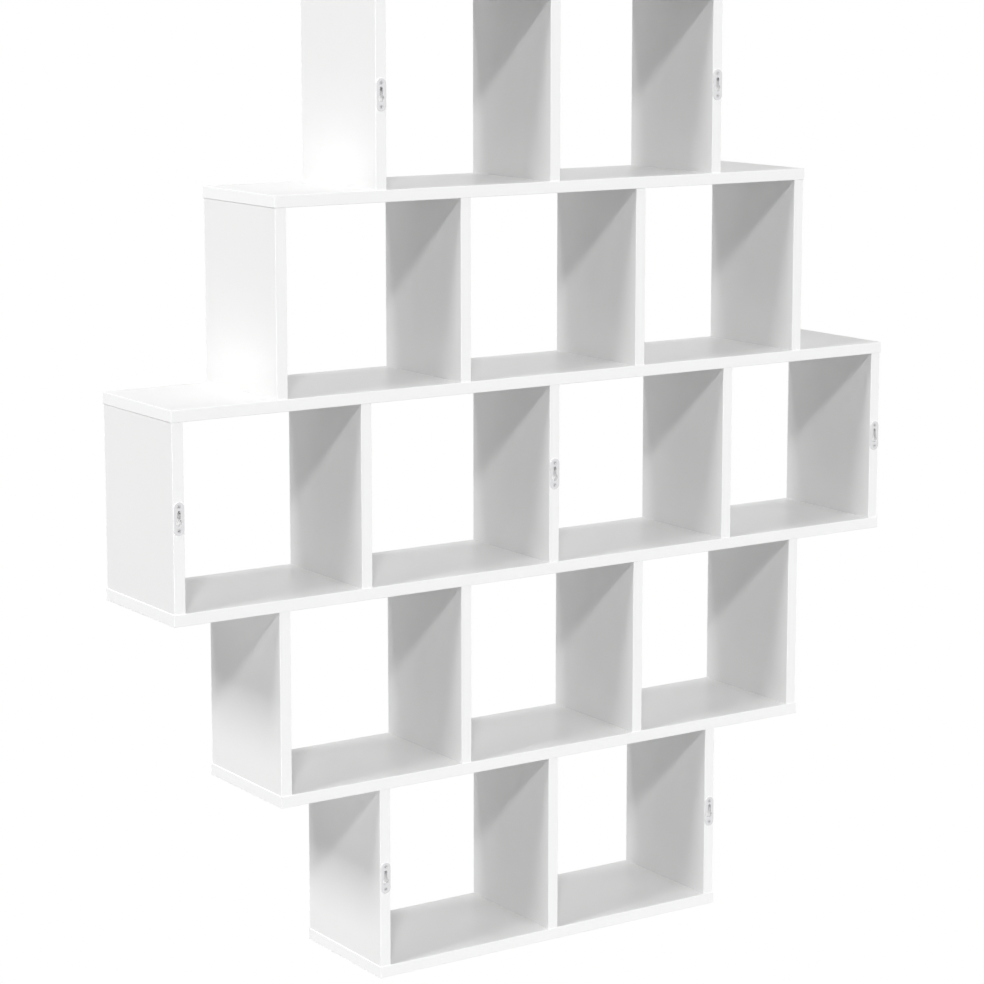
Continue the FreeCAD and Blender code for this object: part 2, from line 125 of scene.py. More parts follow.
# %% [markdown]
# ## A small kit for finishes
# A finish could be a picture wrapped round each piece, but that needs unwrapping and shows seams. Here
# every finish is a Principled shader with procedural patterns on Object coordinates, so a pattern has a
# real size in metres and runs through a piece without seams. A few helpers keep the node trees short.

# %% Node helpers


def fill(tree, node, inputs):
    """Links an output to each socket in a table of names or numbers, or writes a plain value on it."""
    for key, what in inputs.items():
        if isinstance(what, bpy.types.NodeSocket):
            tree.links.new(what, node.inputs[key])
        else:
            node.inputs[key].default_value = what


def add_node(tree, kind, inputs, operation=None):
    """A new node of the kind, with its sockets filled from a table."""
    node = tree.nodes.new(kind)
    if operation:
        node.operation = operation
    fill(tree, node, inputs)
    return node


def new_finish(name, inputs):
    """A material with a Principled shader whose constant sockets are filled from a table."""
    finish = bpy.data.materials.new(name)
    finish.use_nodes = True
    tree = finish.node_tree
    shader = tree.nodes["Principled BSDF"]
    fill(tree, shader, inputs)
    place = tree.nodes.new("ShaderNodeTexCoord").outputs["Object"]
    return finish, tree, shader, place


print("node helpers ready")

# %% Pattern helpers
NOISE_LOW, NOISE_HIGH = 0.3, 0.7


def stretched(tree, place, scale):
    """The place with each axis multiplied, so that a pattern is drawn out along the smaller ones."""
    return add_node(tree, "ShaderNodeMapping", {"Vector": place, "Scale": scale}).outputs["Vector"]


def noise(tree, place, per_metre, detail):
    """Smooth noise from 0 to 1 with that many lumps to the metre."""
    inputs = {"Vector": place, "Scale": per_metre, "Detail": detail}
    return add_node(tree, "ShaderNodeTexNoise", inputs).outputs["Fac"]


def spread(tree, factor, low, high):
    """Maps the middle of the noise's range to low and high."""
    inputs = {"Value": factor, "From Min": NOISE_LOW, "From Max": NOISE_HIGH, "To Min": low, "To Max": high}
    return add_node(tree, "ShaderNodeMapRange", inputs).outputs["Result"]


def two_tones(tree, factor, first, second):
    """A colour between two greys or tints, by the middle of the noise's range."""
    ramp = add_node(tree, "ShaderNodeValToRGB", {"Fac": factor})
    stops = zip(ramp.color_ramp.elements, (NOISE_LOW, NOISE_HIGH), (first, second))
    for stop, position, tone in stops:
        stop.position = position
        stop.color = (*tone, 1.0)
    return ramp.outputs["Color"]


def bump(tree, height, strength, depth):
    """A normal tilted by the slope of a height pattern of that depth in metres."""
    inputs = {"Height": height, "Strength": strength, "Distance": depth}
    return add_node(tree, "ShaderNodeBump", inputs).outputs["Normal"]


print("pattern helpers ready")

# %% [markdown]
# ## White melamine
# The boards are particleboard faced with white melamine paper. Its surface is satin, with a very fine
# pearl grain from the press plate and a shine that varies a little from place to place. One plain white
# would do from afar, but such large flat faces then look like paper, so a slow noise moves the tone and a
# finer one the shine. Behind each keyhole plate a pocket is milled into the upright, and it lies in deep
# shade under the plate. Its faces are painted whiter than the board, as white as the edges, and this is
# painted light that lifts that shade. Its faces could be given a second material, but the CAD mesh stays
# as it is, so the finish itself turns whiter near the middle of the upright.

# %% Melamine
MELAMINE_TONES = (0.857, 0.857, 0.855), (0.864, 0.864, 0.862)
MELAMINE_ROUGHNESS = 0.29, 0.34
CLOUDS_PER_METRE = 5.0
SHINE_PER_METRE = 60.0
PEARL_PER_METRE = 700.0
PEARL_DEPTH = 0.04 * MM
# The pocket's tone is painted light: whiter than the board, to lift the shade in the pocket under the
# plate.
POCKET_PAINTED_LIGHT = (0.93, 0.93, 0.928, 1.0)
PAINTED_LIGHT_HALF = 6.0 * MM


def pocket_painted_light(tree, place, tone, middle_x):
    """Painted light: a whiter tone where X is within the pocket's half width of the upright's middle, which
    lifts the shade inside the pocket, and the tone elsewhere. The upright's broad faces are further out,
    and its edges and ends are covered."""
    across = add_node(tree, "ShaderNodeSeparateXYZ", {"Vector": place}).outputs["X"]
    painted_light_mask = add_node(tree, "ShaderNodeMath", {0: across, 1: middle_x, 2: PAINTED_LIGHT_HALF}, "COMPARE")
    inputs = {"Fac": painted_light_mask.outputs["Value"], "Color1": tone, "Color2": POCKET_PAINTED_LIGHT}
    return add_node(tree, "ShaderNodeMixRGB", inputs).outputs["Color"]


def white_melamine(name, painted_light_x=None):
    """Two close whites by a slow noise, roughness by a middling one, and a pearl grain as bump. Given a
    pocket's middle, it also paints light into that pocket, whiter than the board.
    """
    finish, tree, shader, place = new_finish(name, {"Specular IOR Level": 0.3})
    tone = two_tones(tree, noise(tree, place, CLOUDS_PER_METRE, detail=3.0), *MELAMINE_TONES)
    if painted_light_x is not None:
        tone = pocket_painted_light(tree, place, tone, painted_light_x)
    shine = spread(tree, noise(tree, place, SHINE_PER_METRE, detail=4.0), *MELAMINE_ROUGHNESS)
    pearl = noise(tree, place, PEARL_PER_METRE, detail=2.0)
    grain = bump(tree, pearl, strength=0.05, depth=PEARL_DEPTH)
    fill(tree, shader, {"Base Color": tone, "Roughness": shine, "Normal": grain})
    return finish


melamine = white_melamine("white_melamine")
print(f"{melamine.name} mixed")

# %% [markdown]
# ## Edge bands
# Every cut edge is closed with a band of extruded plastic, a shade whiter and duller than the boards,
# with faint lines from the trimming knife. The lines could be drawn one by one, but noise that is
# squeezed along one axis gives the same uneven streaks with two nodes.

# %% Bands
BAND_TONES = (0.922, 0.923, 0.924), (0.932, 0.933, 0.934)
BAND_ROUGHNESS = 0.48, 0.56
BAND_SQUEEZE = (1.0, 20.0, 1.0)
BAND_CLOUDS_PER_METRE = 20.0
BAND_SHINE_PER_METRE = 80.0
TRIM_PER_METRE = 200.0
TRIM_DEPTH = 0.04 * MM


def white_band():
    """One white by noise squeezed along Y, so drawn out along X and Z, with trimming lines as bump."""
    finish, tree, shader, place = new_finish("white_band", {"Specular IOR Level": 0.4})
    drawn = stretched(tree, place, BAND_SQUEEZE)
    tone = two_tones(tree, noise(tree, drawn, BAND_CLOUDS_PER_METRE, detail=2.0), *BAND_TONES)
    shine = spread(tree, noise(tree, drawn, BAND_SHINE_PER_METRE, detail=3.0), *BAND_ROUGHNESS)
    lines = bump(tree, noise(tree, drawn, TRIM_PER_METRE, detail=2.0), strength=0.10, depth=TRIM_DEPTH)
    fill(tree, shader, {"Base Color": tone, "Roughness": shine, "Normal": lines})
    return finish


band_white = white_band()
print(f"{band_white.name} mixed")

# %% Dress the boards


def dress(node, finish):
    """Puts one finish in all the material slots of a CAD node, and gives the number of slots."""
    for slot in nodes[node].material_slots:
        slot.material = finish
    return len(nodes[node].material_slots)


# Uprights with a hanger get a finish that paints light into the pocket behind the plate; the printed count
# calls this a white pocket.
painted_light_middles = {hanger.replace("_hanger_", "_upright_"): middle(hanger).x for hanger in hangers}
slots_dressed = 0
for name in nodes:
    if name.endswith("_edge_bands"):
        slots_dressed += dress(name, band_white)
    elif name in painted_light_middles:
        slots_dressed += dress(name, white_melamine(f"melamine_{name}", painted_light_middles[name]))
    elif name.endswith("_board") or "_upright_" in name:
        slots_dressed += dress(name, melamine)
print(f"{slots_dressed} slots dressed, {len(painted_light_middles)} of them with a white pocket")

# %% [markdown]
# ## Zinc
# The keyhole plates and the screws are steel with a thin coat of zinc. On the plates it is a pale, dull
# grey, and on the screws it is shinier and a shade darker, rubbed unevenly by tumbling. A plain metal
# shader would mirror like chrome, so one noise sets both the tone and the shine, and a finer one
# scratches the surface.

# %% Zinc finishes
PLATE_TINT = (0.79, 0.79, 0.80)
PLATE_ROUGHNESS = 0.66, 0.76
SCREW_TINT = (0.64, 0.64, 0.65)
SCREW_ROUGHNESS = 0.30, 0.42
WORN_SHADE = 0.92
WORN_PER_METRE = 900.0
MARKS_PER_METRE = 1500.0
MARKS_SQUEEZE = (1.0, 1.0, 6.0)
FINE_DEPTH = 0.03 * MM


def zinc(name, tint, roughness):
    """Metal between a tint and a slightly darker shade of it, with fine tumbling marks as bump."""
    finish, tree, shader, place = new_finish(name, {"Metallic": 1.0})
    worn = noise(tree, place, WORN_PER_METRE, detail=4.0)
    shade = tuple(WORN_SHADE * part for part in tint)
    marks = noise(tree, stretched(tree, place, MARKS_SQUEEZE), MARKS_PER_METRE, detail=3.0)
    fill(tree, shader, {
        "Base Color": two_tones(tree, worn, shade, tint),
        "Roughness": spread(tree, worn, *roughness),
        "Normal": bump(tree, marks, strength=0.2, depth=FINE_DEPTH),
    })
    return finish


plate_zinc = zinc("plate_zinc", PLATE_TINT, PLATE_ROUGHNESS)
screw_zinc = zinc("screw_zinc", SCREW_TINT, SCREW_ROUGHNESS)
print(f"{plate_zinc.name} and {screw_zinc.name} mixed")

# %% [markdown]
# ## Beech and cap plastic
# The dowels are bare beech, with grain drawn out along their length, and the cover caps are moulded in
# white plastic. Growth rings could be made with a wave texture, but on a thin dowel only the grain's
# streaks show, and stretched noise gives those. The mould of the caps is spark-eroded, which leaves an
# even, fine roughness.

# %% Wood and plastic finishes
BEECH_TONES = (0.60, 0.42, 0.26), (0.74, 0.57, 0.39)
BEECH_ROUGHNESS = 0.62
GRAIN_PER_METRE = 900.0
GRAIN_STRETCH = (1.0, 1.0, 0.06)
GRAIN_DEPTH = 0.2 * MM
CAP_TONES = (0.85, 0.85, 0.845), (0.87, 0.87, 0.866)
CAP_ROUGHNESS = 0.38, 0.5
ERODED_PER_METRE = 2500.0


def beech():
    """Grain as noise drawn out along Z, between two wood tones and as bump."""
    finish, tree, shader, place = new_finish("beech", {"Roughness": BEECH_ROUGHNESS})
    grain = noise(tree, stretched(tree, place, GRAIN_STRETCH), GRAIN_PER_METRE, detail=5.0)
    fill(tree, shader, {
        "Base Color": two_tones(tree, grain, *BEECH_TONES),
        "Normal": bump(tree, grain, strength=0.3, depth=GRAIN_DEPTH),
    })
    return finish


def cap_plastic():
    """Moulded white whose tone, shine and bump all follow one fine noise."""
    finish, tree, shader, place = new_finish("cap_plastic", {})
    eroded = noise(tree, place, ERODED_PER_METRE, detail=2.0)
    fill(tree, shader, {
        "Base Color": two_tones(tree, eroded, *CAP_TONES),
        "Roughness": spread(tree, eroded, *CAP_ROUGHNESS),
        "Normal": bump(tree, eroded, strength=0.2, depth=FINE_DEPTH),
    })
    return finish


dowel_beech = beech()
cap_white = cap_plastic()
print(f"{dowel_beech.name} and {cap_white.name} mixed")

# %% [markdown]
# ## From arrays to pieces
# A surface here is a stack of closed rings, an array of rings by points by three. Neighbouring rings are
# joined with four-sided faces. A pattern piece is worked out once and then copied to all its places by
# adding an array of shifts, with no loop over points. Rings that shrink to a point and edges that two
# surfaces share are closed by merging. Primitives and modifiers would also do, but an array shows the
# formula of the shape.

# %% Array helpers


def ring_angles(around):
    """Evenly spaced angles round a full turn."""
    return np.arange(around) * (2 * math.pi / around)


def skin(rings):
    """Corners and faces of a stack of rings: point j of a ring meets point j + 1 and the ring after it."""
    count, around = rings.shape[:2]
    index = np.arange(count * around).reshape(count, around)
    turned = np.roll(index, -1, axis=1)
    faces = np.stack([index[:-1], turned[:-1], turned[1:], index[1:]], axis=-1)
    return rings.reshape(-1, 3), faces.reshape(-1, 4)


def joined(skins):
    """Several skins as one, with the faces of each counted on from the corners before it."""
    starts = np.cumsum([0] + [len(corners) for corners, _ in skins[:-1]])
    corners = np.concatenate([c for c, _ in skins])
    faces = np.concatenate([f + start for (_, f), start in zip(skins, starts)])
    return corners, faces


def copies(pattern, shifts):
    """The pattern's corners plus each shift in turn, and its faces counted on by whole patterns."""
    corners, faces = pattern
    moved = corners[None, :, :] + shifts[:, None, :]
    counted = faces[None, :, :] + len(corners) * np.arange(len(shifts))[:, None, None]
    return moved.reshape(-1, 3), counted.reshape(-1, 4)


print("array helpers ready")

# %% Make a piece of a skin
MERGE = 1e-7
SHARP_ANGLE = math.radians(32)


def new_piece(name, shape, finish, replaced):
    """A mesh object at the origin that stands for a CAD node, with merged corners and outward faces."""
    corners, faces = shape
    mesh = bpy.data.meshes.new(name)
    mesh.from_pydata(corners.tolist(), [], faces.tolist())
    work = bmesh.new()
    work.from_mesh(mesh)
    bmesh.ops.remove_doubles(work, verts=work.verts, dist=MERGE)
    bmesh.ops.recalc_face_normals(work, faces=work.faces)
    work.to_mesh(mesh)
    work.free()
    mesh.shade_smooth()
    mesh.set_sharp_from_angle(angle=SHARP_ANGLE)
    mesh.materials.append(finish)
    piece = bpy.data.objects.new(name, mesh)
    bpy.context.scene.collection.objects.link(piece)
    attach(piece, "root")
    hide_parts(replaced)
    print(f"{name}: {len(mesh.polygons)} faces for {replaced}")


print(f"corners closer than {MERGE:g} m are merged")

# %% [markdown]
# ## Keyhole plates
# Each plate is stamped from sheet steel: round ends, a keyhole that is entered below and narrows to a
# slot above, and two countersunk screw holes. Cutting the holes with a Boolean would leave long thin
# triangles that shade badly. A sheet with three holes is no single grid either, so it is parted into
# three fields, one round each hole. In each field straight rays run from the hole's edge to the field's
# border, which makes a clean grid. The outer rim is a rounded profile carried along the plate's outline.

# %% Sizes of a plate
plate_low, plate_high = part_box(hangers[0])
PLATE_WIDTH = plate_high.x - plate_low.x
PLATE_LENGTH = plate_high.z - plate_low.z
PLATE_THICKNESS = plate_high.y - plate_low.y
KEYHOLE = next(m for m in frame["record"]["mounts"] if m["kind"] == "bore")
ENTRY_RADIUS = KEYHOLE["dims"]["r_mm"] * MM
ENTRY_DROP = 4.5 * MM
SLOT_HALF = 2.25 * MM
SLOT_RISE = 7.5 * MM
EDGE_ROUND = 0.25 * MM
SEAT_CLEARANCE = 0.05 * MM
END_CENTRE = (PLATE_LENGTH - PLATE_WIDTH) / 2
screws_low, screws_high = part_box("hanger_screws")
HEAD_RADIUS = screws_high.x - max(middle(h).x for h in hangers)
SCREW_RISE = screws_high.z - max(middle(h).z for h in hangers) - HEAD_RADIUS
SINK_RADIUS = HEAD_RADIUS + SEAT_CLEARANCE
SHANK_RADIUS = HEAD_RADIUS - PLATE_THICKNESS
FIELD_TOP = (SLOT_RISE + SLOT_HALF + SCREW_RISE - SINK_RADIUS) / 2
FIELD_FOOT = -(ENTRY_DROP + ENTRY_RADIUS + SCREW_RISE - SINK_RADIUS) / 2
print(f"plate {PLATE_WIDTH / MM:.1f} x {PLATE_LENGTH / MM:.1f} mm")
print(f"its screws are {2 * SCREW_RISE / MM:.1f} mm apart")

# %% Outline of a plate
END_ROWS = 4
MIDDLE_ROWS = 22
END_POINTS = 26

right_side = np.concatenate([
    np.linspace(-END_CENTRE, FIELD_FOOT, END_ROWS)[:-1],
    np.linspace(FIELD_FOOT, FIELD_TOP, MIDDLE_ROWS)[:-1],
    np.linspace(FIELD_TOP, END_CENTRE, END_ROWS),
])


def plate_outline(inset):
    """Up the right side, half a turn round the top, down the left side and half a turn round the foot."""
    turn = np.linspace(0, math.pi, END_POINTS)[1:-1]
    reach = PLATE_WIDTH / 2 - inset
    across = np.concatenate([
        np.full(len(right_side), reach), reach * np.cos(turn),
        np.full(len(right_side), -reach), -reach * np.cos(turn),
    ])
    along = np.concatenate([
        right_side, END_CENTRE + reach * np.sin(turn),
        right_side[::-1], -END_CENTRE - reach * np.sin(turn),
    ])
    return np.stack([across, along], axis=1)


print(f"{len(plate_outline(0.0))} points round a plate")

# %% Edges of the holes
TINY = 1e-9


def circle_reach(radius):
    """A round hole: the same distance in every direction."""
    return lambda angle: np.full_like(angle, radius)


def keyhole_reach(angle):
    """Distance from the entry's centre to the keyhole's edge: the entry's circle, or the slot's straight
    sides or round top where those lie further out; the angle is counted from the slot's direction."""
    turn = np.abs((angle - math.pi / 2 + math.pi) % (2 * math.pi) - math.pi)
    rise = ENTRY_DROP + SLOT_RISE
    side = SLOT_HALF / np.maximum(np.sin(turn), TINY)
    under = np.maximum(SLOT_HALF**2 - (rise * np.sin(turn)) ** 2, 0)
    top = rise * np.cos(turn) + np.sqrt(under)
    slot = np.where(side * np.cos(turn) > rise, top, side)
    return np.where(turn < math.pi / 2, np.maximum(ENTRY_RADIUS, slot), ENTRY_RADIUS)


print(f"keyhole reaches {keyhole_reach(np.array([math.pi / 2]))[0] / MM:.2f} mm up from its entry")

# %% Fields round the holes
CUT_POINTS = 12


def straight_cut(reach, height):
    """Points from left to right at one height, without the two ends, which belong to the outline."""
    across = np.linspace(-reach, reach, CUT_POINTS)[1:-1]
    return np.stack([across, np.full_like(across, height)], axis=1)


def field_border(outline, part):
    """The stretch of the outline in a field, closed by straight cuts where it meets its neighbours."""
    along = outline[:, 1]
    reach = outline[:, 0].max()
    over, under = straight_cut(reach, FIELD_TOP), straight_cut(reach, FIELD_FOOT)
    if part == "upper":
        return np.concatenate([outline[along > FIELD_TOP - MERGE], over])
    if part == "lower":
        rolled = np.roll(outline, len(outline) // 2, axis=0)
        return np.concatenate([rolled[rolled[:, 1] < FIELD_FOOT + MERGE], under[::-1]])
    inside = (along > FIELD_FOOT - MERGE) & (along < FIELD_TOP + MERGE)
    right = outline[inside & (outline[:, 0] > 0)]
    left = outline[inside & (outline[:, 0] < 0)]
    return np.concatenate([right, over[::-1], left, under])


def standing(flat, heights):
    """Flat rings stood up on edge: across becomes X, along becomes Z, and a ring's height becomes its Y."""
    height = np.broadcast_to(np.asarray(heights)[:, None], flat.shape[:2])
    return np.stack([flat[..., 0], height, flat[..., 1]], axis=-1)


def rays(border, centre, reach, outset, heights, shares):
    """Rings on straight rays: the hole's edge, moved out by an outset, plus a share of the way to the
    border. A ring's height is its place through the plate."""
    away = border - centre
    length = np.hypot(away[:, 0], away[:, 1])
    direction = away / length[:, None]
    edge = reach(np.arctan2(away[:, 1], away[:, 0]))
    start = edge[None, :] + np.asarray(outset)[:, None]
    distance = start + (length[None, :] - start) * np.asarray(shares)[:, None]
    return standing(centre + direction[None, :, :] * distance[:, :, None], heights)


print("field helpers ready")

# %% The stamped plate
ROUND_STEPS = np.linspace(0, math.pi / 2, 5)
FIELD_STEPS = np.linspace(0, 1, 5)
quarter_in = EDGE_ROUND * (1 - np.sin(ROUND_STEPS))
quarter_down = -EDGE_ROUND * (1 - np.cos(ROUND_STEPS))


def plate_rim():
    """A rounded edge, a straight wall and a square back edge, carried along the outline."""
    rings = np.stack([plate_outline(inset) for inset in np.append(quarter_in, 0.0)])
    return skin(standing(rings, np.append(quarter_down, -PLATE_THICKNESS)))


def plate_field(part, centre, reach, back_reach, outsets, heights):
    """The hole's wall, the front face round it and the back face, each a set of rays."""
    front_border = field_border(plate_outline(EDGE_ROUND), part)
    back_border = field_border(plate_outline(0.0), part)
    wall = rays(front_border, centre, reach, outsets, heights, np.zeros(len(outsets)))
    foot = rays(front_border, centre, back_reach, [0.0], [-PLATE_THICKNESS], [0.0])
    none = np.zeros(len(FIELD_STEPS))
    face = rays(front_border, centre, reach, none + outsets[0], none, FIELD_STEPS)
    back = rays(back_border, centre, back_reach, none, none - PLATE_THICKNESS, FIELD_STEPS)
    back[0] = foot[0]
    return joined([skin(np.concatenate([wall, foot])), skin(face), skin(back)])


def sunk_field(part, height):
    """A field round a countersunk hole, whose wall is one cone from the front face to the back."""
    centre = np.array([0.0, height])
    back_reach = circle_reach(SHANK_RADIUS + SEAT_CLEARANCE)
    return plate_field(part, centre, circle_reach(SINK_RADIUS), back_reach, [0.0], [0.0])


entry = np.array([0.0, -ENTRY_DROP])
plate = joined([
    plate_rim(),
    plate_field("middle", entry, keyhole_reach, keyhole_reach, quarter_in, quarter_down),
    sunk_field("upper", SCREW_RISE),
    sunk_field("lower", -SCREW_RISE),
])
for hanger in hangers:
    at = middle(hanger)
    shift = np.array([[at.x, plate_high.y, at.z]])
    new_piece(f"plate_{hanger}", copies(plate, shift), plate_zinc, hanger)

# %% [markdown]
# ## Screws
# A screw is a stack of rings along its axis. The cross recess in a countersunk head is star-shaped, so
# rings that follow the cross shrink into the head and widen to its round rim. The thread could be a
# profile swept along a helix, but one wave to each pitch, shifted by the angle round the shank, winds it
# with one formula.

# %% Screw helpers
THREAD_FLANK = 2.2
STEPS_PER_PITCH = 6


def cross_reach(angle, half_width, length):
    """Edge of a cross seen from its centre: the further of two arms, each with its end and its sides."""
    along, across = np.maximum(np.abs(np.cos(angle)), TINY), np.maximum(np.abs(np.sin(angle)), TINY)
    first = np.minimum(length / along, half_width / across)
    second = np.minimum(length / across, half_width / along)
    return np.maximum(first, second)


def hexagon_reach(angle, half_flats):
    """Edge of a hexagon: half its width over flats, over the cosine of the turn from the nearest flat."""
    turn = (angle + math.pi / 6) % (math.pi / 3) - math.pi / 6
    return half_flats / np.cos(turn)


def threaded(depths, angles, crest, root, pitch):
    """Radius of a thread: a triangular wave of depth over pitch minus the turn, steepened about its middle
    and cut off at root and crest."""
    turns = depths[:, None] / pitch - angles[None, :] / (2 * math.pi)
    wave = 1 - 2 * np.abs(turns % 1.0 - 0.5)
    return root + (crest - root) * np.clip(THREAD_FLANK * (wave - 0.5), 0, 1)


def spun(radii, depths, angles):
    """Rings about an axis: radius times cosine and sine, and the depth along the axis as third number."""
    depth = np.broadcast_to(np.asarray(depths)[:, None], radii.shape)
    return np.stack([radii * np.cos(angles), radii * np.sin(angles), depth], axis=-1)


print("screw helpers ready")

# %% A screw of the plates
SCREW_AROUND = 48
SCREW_LENGTH = screws_high.y - screws_low.y
CROSS_HALF = 0.42 * MM
CROSS_LENGTH = 1.65 * MM
RECESS_DEPTH = 1.1 * MM
RECESS_FOOT, RECESS_WAIST, WAIST_DEPTH = 0.35, 0.8, 0.35 * RECESS_DEPTH
RIM_WIDTH, RIM_DROP = 0.1 * MM, 0.05 * MM
NECK_LENGTH = 0.3 * MM
THREAD_PITCH = 1.35 * MM
THREAD_ROOT = 0.72 * SHANK_RADIUS
TIP_RADIUS, TIP_LENGTH = 0.5 * SHANK_RADIUS, 1.2 * MM


def hanger_screw():
    """Cross recess, flat head, cone, threaded shank and point, as one stack of rings."""
    angles = ring_angles(SCREW_AROUND)
    cross = cross_reach(angles, CROSS_HALF, CROSS_LENGTH)
    even = np.ones_like(angles)
    head = [
        (0.0 * even, RECESS_DEPTH), (RECESS_FOOT * cross, RECESS_DEPTH),
        (RECESS_WAIST * cross, WAIST_DEPTH), (cross, 0.0),
        ((HEAD_RADIUS - RIM_WIDTH) * even, 0.0), (HEAD_RADIUS * even, RIM_DROP),
        (SHANK_RADIUS * even, PLATE_THICKNESS),
    ]
    thread_end = SCREW_LENGTH - 2 * SHANK_RADIUS
    depths = np.arange(PLATE_THICKNESS + NECK_LENGTH, thread_end, THREAD_PITCH / STEPS_PER_PITCH)
    thread = threaded(depths, angles, SHANK_RADIUS, THREAD_ROOT, THREAD_PITCH)
    point = [(TIP_RADIUS * even, SCREW_LENGTH - TIP_LENGTH), (0.0 * even, SCREW_LENGTH)]
    radii = np.concatenate([np.stack([r for r, _ in head]), thread, np.stack([r for r, _ in point])])
    every_depth = np.concatenate([[d for _, d in head], depths, [d for _, d in point]])
    return spun(radii, every_depth, angles)


screw_rings = hanger_screw()
print(f"screw {SCREW_LENGTH / MM:.1f} mm long in {len(screw_rings)} rings")

# %% Drive the screws
FIRST_TURN, TURN_BY_PLATE, TURN_BY_SIDE = 0.7, 1.9, 0.8


def driven(rings, at, side, turn):
    """The rings turned about their axis by an angle, with the axis laid along Y in a hole of the plate."""
    across = rings[..., 0] * math.cos(turn) - rings[..., 1] * math.sin(turn)
    along = rings[..., 0] * math.sin(turn) + rings[..., 1] * math.cos(turn)
    height = at.z + side * SCREW_RISE
    return np.stack([at.x + across, screws_high.y - rings[..., 2], height + along], axis=-1)


screw_skins = []
for number, hanger in enumerate(hangers):
    for side in (-1, 1):
        turn = FIRST_TURN + TURN_BY_PLATE * number + TURN_BY_SIDE * side
        screw_skins.append(skin(driven(screw_rings, middle(hanger), side, turn)))
new_piece("plate_screws", joined(screw_skins), screw_zinc, "hanger_screws")

# %% [markdown]
# ## Hidden joints
# Each upright is drawn down on its board by two long connecting screws from below, whose heads are hidden
# by press-in caps, and is pegged to the board above with two fluted dowels. None of this shows in the
# picture, and it could be left plain, but it is there when the shelf is taken apart or seen from below.
# One pattern of each is enough for a row, copied to the places that the CAD boxes give.

# %% Places in a row


def paired_places(row, node):
    """Every upright's X with two depths: the box of the node less the piece's own radius at each end."""
    low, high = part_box(node)
    radius = high.x - row_places[row].max()
    depths = np.array([low.y + radius, high.y - radius])
    x, y = np.meshgrid(row_places[row], depths, indexing="ij")
    return x.ravel(), y.ravel(), low.z, high.z, radius


print("places:", [len(paired_places(row, f"row_{row}_dowels")[0]) for row in ROW_NUMBERS], "dowels a row")

# %% A connecting screw
CONNECTOR_AROUND = 24
SOCKET_HALF = 2.0 * MM
SOCKET_DEPTH = 3.0 * MM
SOCKET_TAPER = 0.98
SHOULDER_RADIUS = 3.5 * MM
SHOULDER_END = 14.0 * MM
CREST_RADIUS = 2.5 * MM
ROOT_RADIUS = 0.75 * CREST_RADIUS
RUN_IN = 0.5 * MM
POINT_LENGTH = 4.0 * MM
CONNECTOR_PITCH = 3.0 * MM


def connecting_screw(length, head_radius):
    """Hexagon socket, countersunk head, plain shoulder, coarse thread and point, as one stack of rings."""
    angles = ring_angles(CONNECTOR_AROUND)
    even = np.ones_like(angles)
    socket = hexagon_reach(angles, SOCKET_HALF)
    head = [
        (0.0 * even, SOCKET_DEPTH), (SOCKET_TAPER * socket, SOCKET_DEPTH), (socket, 0.0),
        (head_radius * even, 0.0), (SHOULDER_RADIUS * even, head_radius - SHOULDER_RADIUS),
        (SHOULDER_RADIUS * even, SHOULDER_END), (ROOT_RADIUS * even, SHOULDER_END),
    ]
    depths = np.arange(SHOULDER_END + RUN_IN, length - POINT_LENGTH, CONNECTOR_PITCH / STEPS_PER_PITCH)
    thread = threaded(depths, angles, CREST_RADIUS, ROOT_RADIUS, CONNECTOR_PITCH)
    radii = np.concatenate([np.stack([r for r, _ in head]), thread, np.zeros((1, CONNECTOR_AROUND))])
    return spun(radii, np.concatenate([[d for _, d in head], depths, [length]]), angles)


print(f"connecting screws with a pitch of {CONNECTOR_PITCH / MM:.1f} mm")

# %% A cover cap
CAP_AROUND = 40
CAP_ROUND = 0.45 * MM
CAP_DOME = 0.12 * MM
DOME_RINGS = 6
PEG_RADIUS = 1.95 * MM
PEG_CHAMFER = 0.2 * MM


def screw_cap(radius, thickness, height):
    """A peg, a flat seat, a rounded rim and a faint dome, turned about the cap's axis."""
    rim = radius - CAP_ROUND + CAP_ROUND * np.cos(ROUND_STEPS)
    rim_depth = -(thickness - CAP_DOME) + CAP_ROUND * (1 - np.sin(ROUND_STEPS))
    dome = np.linspace(radius - CAP_ROUND, 0, DOME_RINGS)[1:]
    dome_depth = -(thickness - CAP_DOME) - CAP_DOME * (1 - (dome / (radius - CAP_ROUND)) ** 2)
    peg_top = height - thickness
    peg = [0.0, PEG_RADIUS - PEG_CHAMFER, PEG_RADIUS, PEG_RADIUS, radius]
    peg_depth = [peg_top, peg_top, peg_top - PEG_CHAMFER, 0.0, 0.0]
    profile = np.concatenate([peg, rim, dome])
    depth = np.concatenate([peg_depth, rim_depth, dome_depth])
    return spun(np.repeat(profile[:, None], CAP_AROUND, axis=1), depth, ring_angles(CAP_AROUND))


print(f"caps with a dome of {CAP_DOME / MM:.2f} mm")

# %% Set the connecting screws and caps
BOARDS = ["upper_board", "upper_middle_board", "lower_middle_board", "lower_board", "bottom_board"]

for row, board in zip(ROW_NUMBERS, BOARDS):
    screws, caps = f"{board}_connecting_screws", f"{board}_screw_caps"
    x, y, foot, head, radius = paired_places(row, screws)
    screw = skin(connecting_screw(head - foot, radius))
    shifts = np.stack([x, y, np.full_like(x, foot)], axis=1)
    new_piece(f"{board}_connectors", copies(screw, shifts), screw_zinc, screws)
    _, _, cap_foot, cap_head, cap_radius = paired_places(row, caps)
    cap = skin(screw_cap(cap_radius, foot - cap_foot, cap_head - cap_foot))
    new_piece(f"{board}_caps", copies(cap, shifts), cap_white, caps)

# %% Fluted dowels
FLUTES = 12
FLUTE_DEPTH = 0.3 * MM
DOWEL_CHAMFER = 0.8 * MM
DOWEL_AROUND = 48


